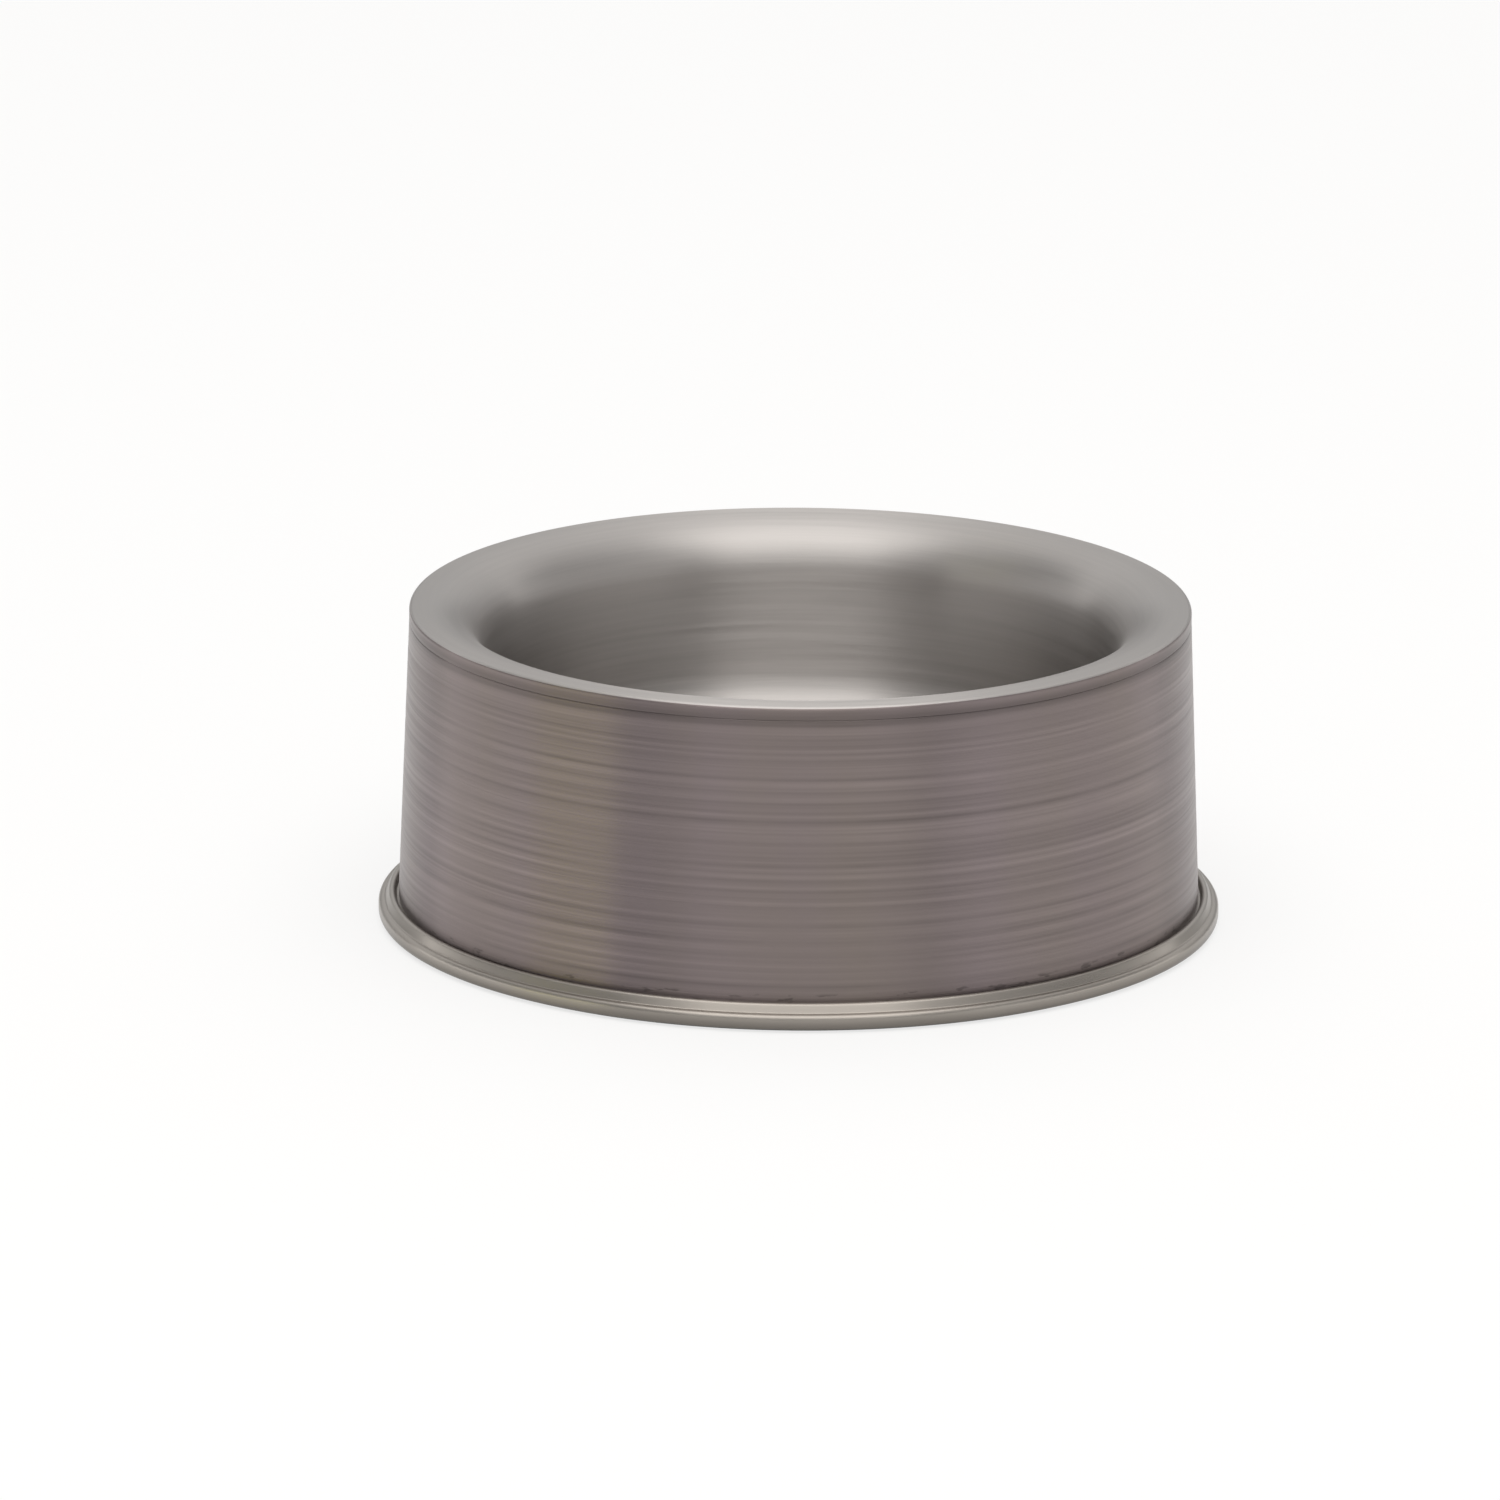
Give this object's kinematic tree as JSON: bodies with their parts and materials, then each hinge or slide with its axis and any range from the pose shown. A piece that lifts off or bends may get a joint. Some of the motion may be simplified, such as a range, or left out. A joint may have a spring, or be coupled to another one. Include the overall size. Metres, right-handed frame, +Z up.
{
  "type": "pet feeding bowl",
  "caption": "Double-walled stainless feeding bowl: deep basin with a broad rolled rim, tapered brushed wall, beaded foot flange and a rubber ring underneath.",
  "frame": {"origin": "on the floor, on the bowl's axis", "axes": "+Z up along the bowl's axis; the bowl is round, so X and Y are any two directions square to it, with -Y taken as the front"},
  "size_m": [0.2, 0.2, 0.076],
  "materials": {
    "satin_steel": "satin, turned round the bowl's axis",
    "brushed_steel": "brushed round the wall, with coarse horizontal lines",
    "pressed_steel": "pressed and lightly brushed",
    "foot_rubber": "matt moulded rubber"
  },
  "bodies": {
    "root": {"inner_bowl": "satin_steel", "outer_shell": "brushed_steel", "base_pan": "pressed_steel", "foot_ring": "foot_rubber"}
  },
  "joints": []
}
